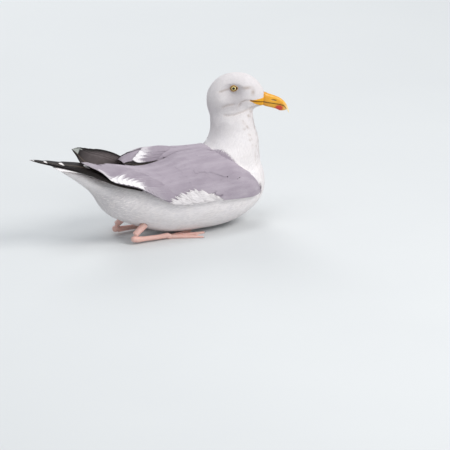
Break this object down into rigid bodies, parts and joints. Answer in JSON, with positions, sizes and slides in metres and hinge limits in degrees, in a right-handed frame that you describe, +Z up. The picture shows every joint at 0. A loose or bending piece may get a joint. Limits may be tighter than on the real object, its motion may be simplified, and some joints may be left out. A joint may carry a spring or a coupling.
{
  "type": "herring gull",
  "caption": "Life-size still model of an adult herring gull afloat: it rests on its belly, wings folded, head turned to its right, feet tucked under.",
  "frame": {"origin": "on the flat of the belly, where the bird rests on the floor, under the middle of the trunk", "axes": "+X the way the trunk heads, +Y the bird's left, +Z up"},
  "size_m": [0.4581, 0.139, 0.2498],
  "materials": {
    "white_plumage": "soft matte feathers",
    "mantle_plumage": "matte grey feathers",
    "flight_feathers": "satin black-brown vanes with white tips",
    "bill": "semi-gloss yellow horn with a red spot",
    "eye": "wet gloss",
    "bare_skin": "satin pink scaled skin"
  },
  "bodies": {
    "root": {"trunk": "white_plumage", "neck": "white_plumage", "head": "white_plumage", "tail": "white_plumage", "right_wing": "mantle_plumage", "left_wing": "mantle_plumage", "right_primaries": "flight_feathers", "left_primaries": "flight_feathers", "upper_bill": "bill", "lower_bill": "bill", "right_eye": "eye", "left_eye": "eye", "right_leg": "bare_skin", "left_leg": "bare_skin", "right_foot": "bare_skin", "left_foot": "bare_skin"}
  },
  "joints": []
}
